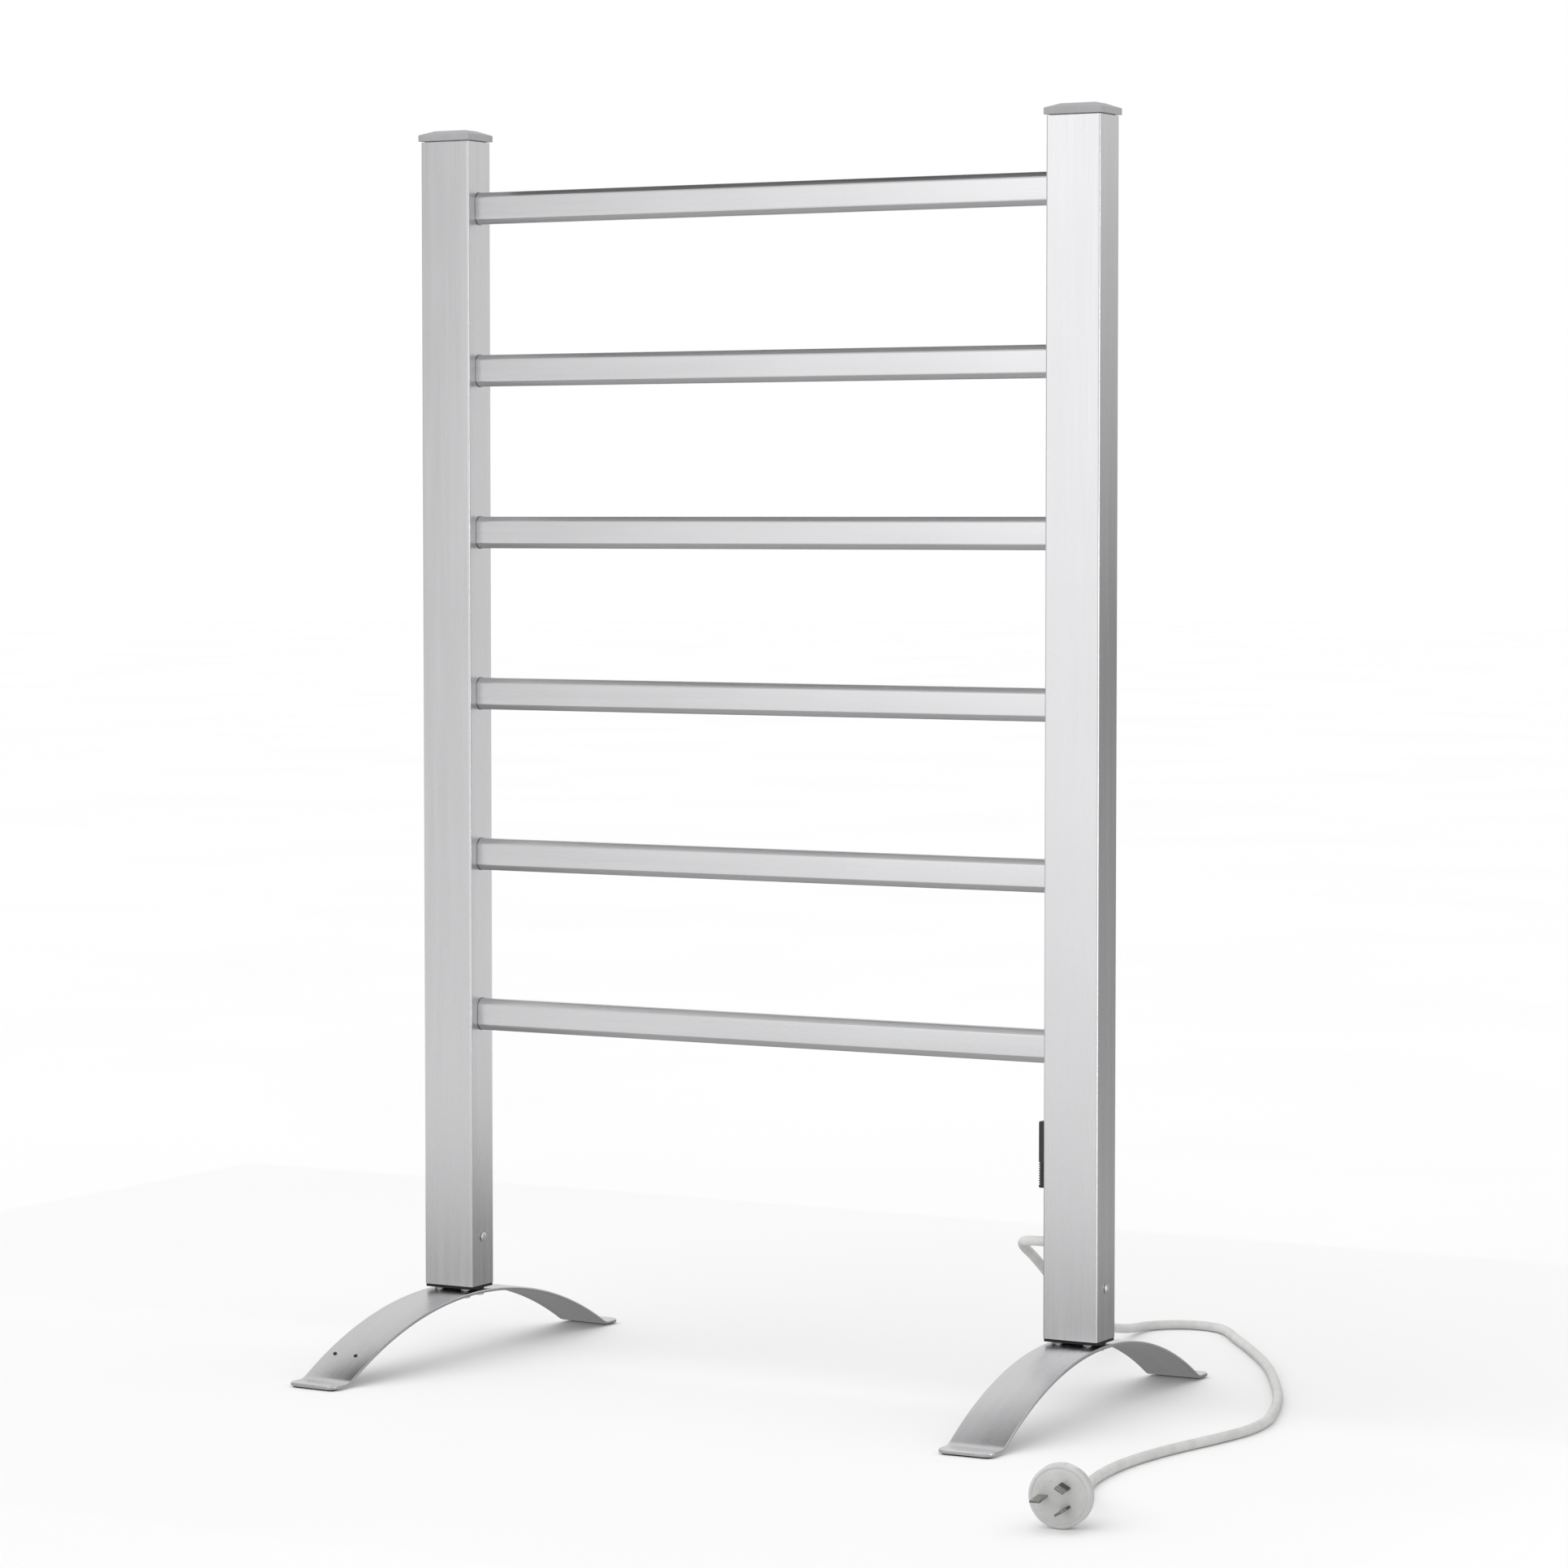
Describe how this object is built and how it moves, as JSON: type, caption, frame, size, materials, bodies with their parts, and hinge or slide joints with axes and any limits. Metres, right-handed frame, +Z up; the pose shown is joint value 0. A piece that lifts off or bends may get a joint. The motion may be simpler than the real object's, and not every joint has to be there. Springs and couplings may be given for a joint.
{
  "type": "towel warmer rack",
  "caption": "Freestanding electric towel rail: box-section posts on arched feet, flat heated bars, rocker switch and mains lead with a three-pin plug.",
  "frame": {"origin": "centre of the footprint of the rail, on the floor", "axes": "+Z up along the posts, +X along the bars from the left post to the right post, +Y from the front to the back"},
  "size_m": [0.7019, 0.7348, 0.8784],
  "materials": {
    "post_aluminium": "satin, fine brushing along the post",
    "bar_aluminium": "satin, fine brushing along the bar",
    "foot_aluminium": "satin, soft brushing along the foot",
    "cap_plastic": "silver-grey, fine grain",
    "black_plastic": "black, satin",
    "pad_rubber": "matte",
    "zinc_steel": "bright zinc plate",
    "lead_pvc": "pale grey, slightly glossy",
    "plug_pvc": "pale grey, moulded",
    "pin_brass": "nickel-plated",
    "brass": "bare",
    "cable_silicone": "matte red",
    "wire_insulation": "plain",
    "nylon": "natural"
  },
  "bodies": {
    "frame": {"bar_1": "bar_aluminium", "bar_2": "bar_aluminium", "bar_3": "bar_aluminium", "bar_4": "bar_aluminium", "bar_5": "bar_aluminium", "bar_6": "bar_aluminium", "cord_strain_relief": "lead_pvc", "earth_stud": "zinc_steel", "earth_tag": "brass", "foot_bolt_left_front_left": "zinc_steel", "foot_bolt_left_front_right": "zinc_steel", "foot_bolt_left_rear_left": "zinc_steel", "foot_bolt_left_rear_right": "zinc_steel", "foot_bolt_right_front_left": "zinc_steel", "foot_bolt_right_front_right": "zinc_steel", "foot_bolt_right_rear_left": "zinc_steel", "foot_bolt_right_rear_right": "zinc_steel", "foot_pad_left_front": "pad_rubber", "foot_pad_left_rear": "pad_rubber", "foot_pad_right_front": "pad_rubber", "foot_pad_right_rear": "pad_rubber", "foot_rivet_1": "zinc_steel", "foot_rivet_2": "zinc_steel", "foot_spacer_left_front_left": "zinc_steel", "foot_spacer_left_front_right": "zinc_steel", "foot_spacer_left_rear_left": "zinc_steel", "foot_spacer_left_rear_right": "zinc_steel", "foot_spacer_right_front_left": "zinc_steel", "foot_spacer_right_front_right": "zinc_steel", "foot_spacer_right_rear_left": "zinc_steel", "foot_spacer_right_rear_right": "zinc_steel", "heating_cable": "cable_silicone", "left_base_plug": "black_plastic", "left_foot": "foot_aluminium", "left_post": "post_aluminium", "left_top_cap": "cap_plastic", "plug_body": "plug_pvc", "plug_pin_active": "pin_brass", "plug_pin_earth": "pin_brass", "plug_pin_neutral": "pin_brass", "post_screw_left_inner": "zinc_steel", "post_screw_left_outer": "zinc_steel", "post_screw_right_inner": "zinc_steel", "post_screw_right_outer": "zinc_steel", "power_cord": "lead_pvc", "right_base_plug": "black_plastic", "right_foot": "foot_aluminium", "right_post": "post_aluminium", "right_top_cap": "cap_plastic", "switch_housing": "black_plastic", "switch_terminal_live": "brass", "switch_terminal_load": "brass", "terminal_block": "nylon", "thermal_cutout": "nylon", "wire_earth": "wire_insulation", "wire_element": "wire_insulation", "wire_live": "wire_insulation", "wire_neutral": "wire_insulation", "wire_switched": "wire_insulation"},
    "rocker": {"switch_rocker": "black_plastic"}
  },
  "joints": [
    {"name": "switch_rocker_hinge", "type": "hinge", "parent": "frame", "child": "rocker", "pos_m": [0.2254, 0, 0.1841], "axis": [0, 1, 0], "range_deg": [0, 16]}
  ]
}
